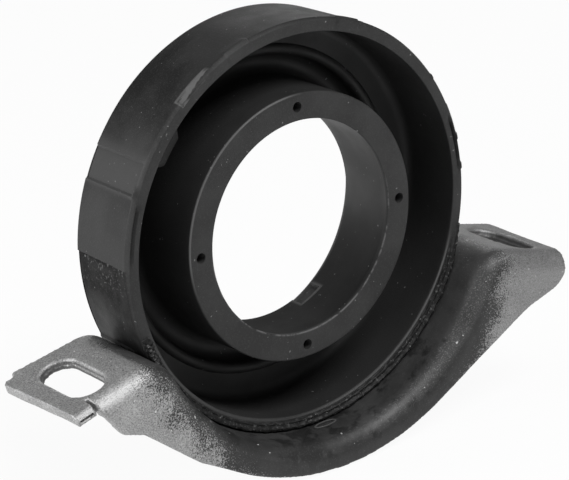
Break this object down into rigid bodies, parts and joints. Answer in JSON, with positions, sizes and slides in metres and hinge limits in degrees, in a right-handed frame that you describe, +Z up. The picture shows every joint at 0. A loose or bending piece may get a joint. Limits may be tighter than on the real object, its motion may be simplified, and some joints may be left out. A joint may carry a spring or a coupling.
{
  "type": "driveshaft centre bearing support",
  "caption": "Cradle that carries a driveshaft's centre bearing: a rubber ring with a flexible web, bonded into a pressed steel bracket with slotted ears.",
  "frame": {"origin": "on the ring's axis, in the middle of the bearing seat's length", "axes": "+X along the ears, to the right seen from the open front; +Y along the bearing's axis, towards the back; +Z up, away from the saddle"},
  "size_m": [0.1715, 0.042, 0.1231],
  "materials": {
    "bracket_steel": "grainy coated sheet with a dark bonding coat around the ring",
    "ring_rubber": "satin as moulded",
    "insert_steel": "plain, embedded in the rubber"
  },
  "bodies": {
    "root": {"mounting_bracket": "bracket_steel", "rubber_ring": "ring_rubber", "insert_ring": "insert_steel"}
  },
  "joints": []
}
